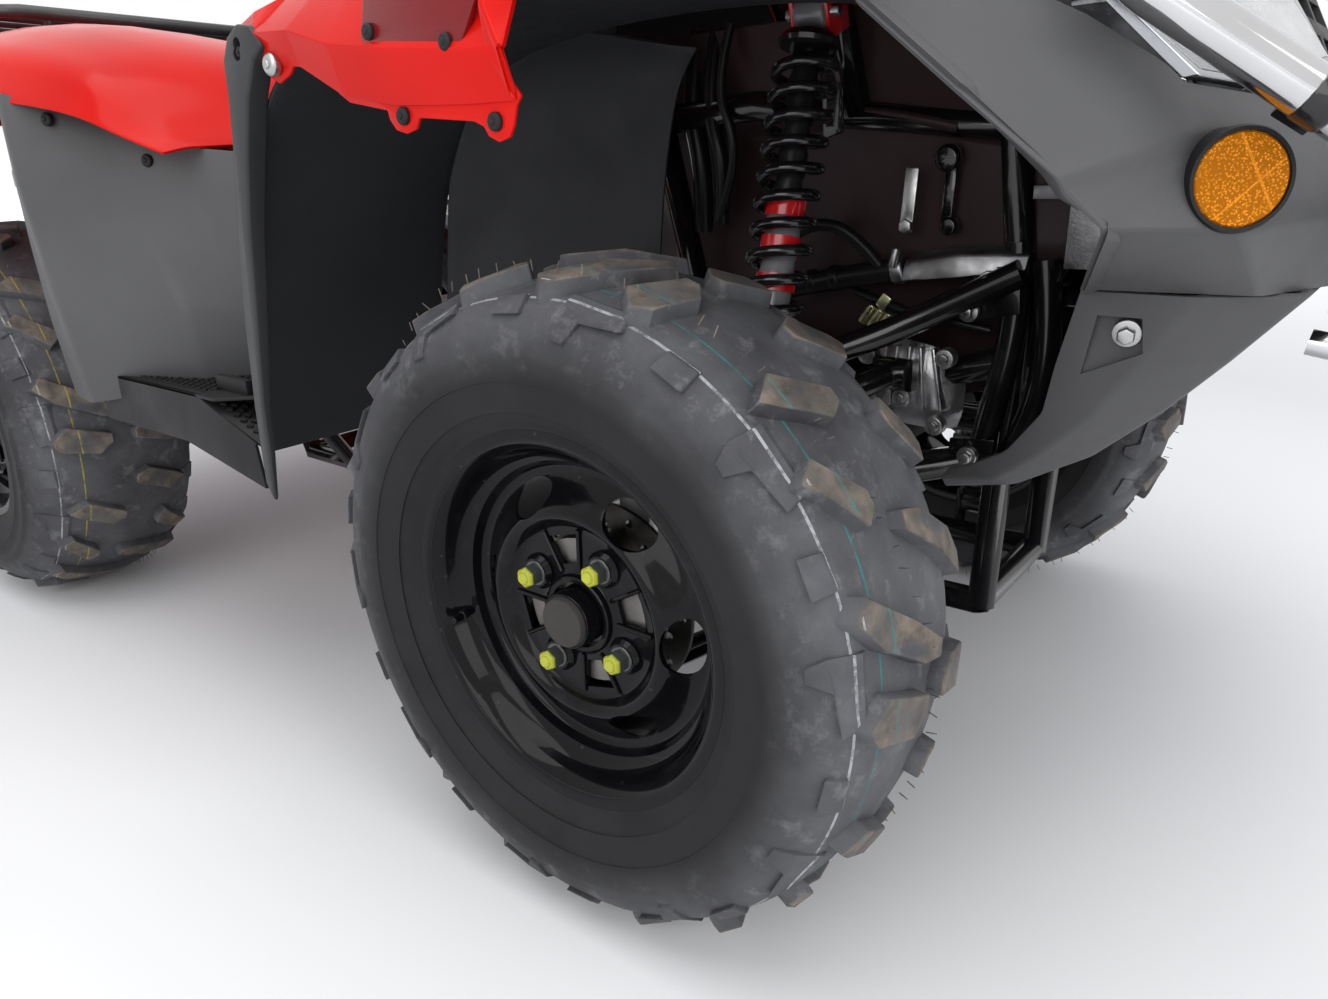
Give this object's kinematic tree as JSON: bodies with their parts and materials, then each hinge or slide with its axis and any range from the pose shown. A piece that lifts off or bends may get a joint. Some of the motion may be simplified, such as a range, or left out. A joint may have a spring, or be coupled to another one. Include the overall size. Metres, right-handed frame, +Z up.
{
  "type": "quad bike",
  "caption": "Utility quad bike with steered front wheels, solid rear axle, open tube frame and engine, red fenders, seat, footboards and tube racks.",
  "frame": {"origin": "on the floor under the middle of the machine", "axes": "+X forward, +Y to the left, +Z up"},
  "size_m": [2.2194, 1.204, 1.1734],
  "materials": {
    "gloss_black": "gloss",
    "tyre": "matte",
    "cast_metal": "satin",
    "frame_paint": "satin",
    "casing": "satin",
    "boots": "matte",
    "damper": "satin",
    "spring": "satin",
    "exhaust": "satin",
    "steel": "satin",
    "bright_tube": "polished",
    "rack_paint": "satin",
    "red_panel": "gloss",
    "grey_panel": "satin",
    "black_panel": "matte",
    "seat_cover": "satin",
    "lamp_lens": "gloss",
    "amber_lens": "gloss",
    "red_lens": "gloss"
  },
  "bodies": {
    "chassis": {"control_arms_left": "frame_paint", "control_arms_right": "frame_paint", "engine_case": "casing", "engine_cylinder": "cast_metal", "exhaust": "exhaust", "footboards": "black_panel", "frame": "frame_paint", "front_bumper": "bright_tube", "front_differential": "casing", "front_fascia": "grey_panel", "front_fender": "red_panel", "front_grille": "black_panel", "front_guard": "grey_panel", "front_rack": "rack_paint", "fuel_cap": "black_panel", "half_shafts": "boots", "headlights": "lamp_lens", "mudguard_edges": "grey_panel", "mudguards": "black_panel", "radiator": "casing", "rear_fender": "red_panel", "rear_flare_lips": "grey_panel", "rear_flares": "grey_panel", "rear_rack": "rack_paint", "rear_shock": "damper", "reflectors": "amber_lens", "seat": "seat_cover", "shock_absorbers": "damper", "shock_springs": "spring", "splash_panels": "black_panel", "swing_arm": "frame_paint", "tail_lights": "red_lens", "tank_cover": "black_panel"},
    "steering": {"steering_column": "frame_paint", "handlebar": "steel", "grips": "boots", "hand_controls": "black_panel", "instrument_pod": "black_panel"},
    "knuckle_right": {"knuckle_right": "cast_metal"},
    "knuckle_left": {"knuckle_left": "cast_metal"},
    "front_wheel_right": {"front_rim_right": "gloss_black", "front_tyre_right": "tyre", "front_hub_right": "cast_metal"},
    "front_wheel_left": {"front_rim_left": "gloss_black", "front_tyre_left": "tyre", "front_hub_left": "cast_metal"},
    "tie_rod_right": {"tie_rod_right": "steel"},
    "tie_rod_left": {"tie_rod_left": "steel"},
    "rear_wheels": {"rear_axle": "cast_metal", "rear_rims": "gloss_black", "rear_tyres": "tyre"}
  },
  "joints": [
    {"name": "steering_turn", "type": "hinge", "parent": "chassis", "child": "steering", "pos_m": [0.6456, 0, 0.43], "axis": [-0.4415, 0, 0.8973], "range_deg": [-36, 36]},
    {"name": "knuckle_right_turn", "type": "hinge", "parent": "chassis", "child": "knuckle_right", "pos_m": [0.5656, -0.42, 0.3], "axis": [0, 0, 1], "range_deg": [-27, 27]},
    {"name": "knuckle_left_turn", "type": "hinge", "parent": "chassis", "child": "knuckle_left", "pos_m": [0.5656, 0.42, 0.3], "axis": [0, 0, 1], "range_deg": [-27, 27]},
    {"name": "front_wheel_right_spin", "type": "hinge", "parent": "knuckle_right", "child": "front_wheel_right", "pos_m": [0.5656, -0.47, 0.3], "axis": [0, 1, 0], "continuous": true},
    {"name": "front_wheel_left_spin", "type": "hinge", "parent": "knuckle_left", "child": "front_wheel_left", "pos_m": [0.5656, 0.47, 0.3], "axis": [0, 1, 0], "continuous": true},
    {"name": "tie_rod_right_turn", "type": "hinge", "parent": "steering", "child": "tie_rod_right", "pos_m": [0.60074, 0, 0.40792], "axis": [-0.4415, 0, 0.8973], "range_deg": [-36, 36]},
    {"name": "tie_rod_left_turn", "type": "hinge", "parent": "steering", "child": "tie_rod_left", "pos_m": [0.60074, 0, 0.40792], "axis": [-0.4415, 0, 0.8973], "range_deg": [-36, 36]},
    {"name": "rear_axle_spin", "type": "hinge", "parent": "chassis", "child": "rear_wheels", "pos_m": [-0.7044, 0, 0.3], "axis": [0, 1, 0], "continuous": true}
  ],
  "couplings": [
    {"joint": "knuckle_right_turn", "follows": "steering_turn", "ratio": 0.75},
    {"joint": "knuckle_left_turn", "follows": "steering_turn", "ratio": 0.75},
    {"joint": "tie_rod_right_turn", "follows": "steering_turn", "ratio": -1},
    {"joint": "tie_rod_left_turn", "follows": "steering_turn", "ratio": -1}
  ]
}
